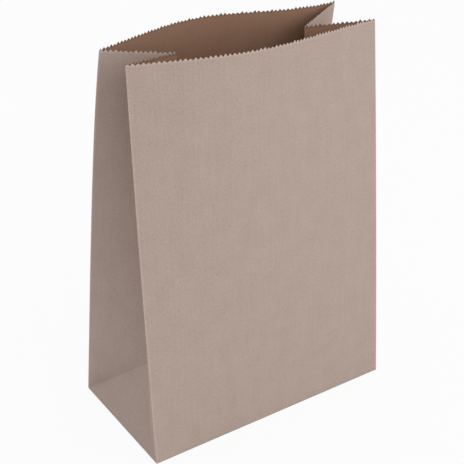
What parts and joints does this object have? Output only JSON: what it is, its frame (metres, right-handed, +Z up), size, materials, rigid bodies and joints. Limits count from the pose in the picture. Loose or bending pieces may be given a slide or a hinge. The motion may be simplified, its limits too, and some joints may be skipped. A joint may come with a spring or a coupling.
{
  "type": "brown paper lunch bag",
  "caption": "Open brown kraft paper bag with a flat rectangular folded bottom, pleated sides, a bowed mouth and a zigzag-cut top edge, for carrying a packed lunch or small goods.",
  "frame": {"origin": "centre of the rectangular base, on the ground", "axes": "+Z up out of the mouth, -Y towards the front panel, X along the width of the front and back panels"},
  "size_m": [0.1803, 0.09, 0.2456],
  "materials": {
    "kraft_paper": "uncoated brown kraft paper, matt, with a fine mottled grain"
  },
  "bodies": {
    "root": {"bag": "kraft_paper"}
  },
  "joints": []
}
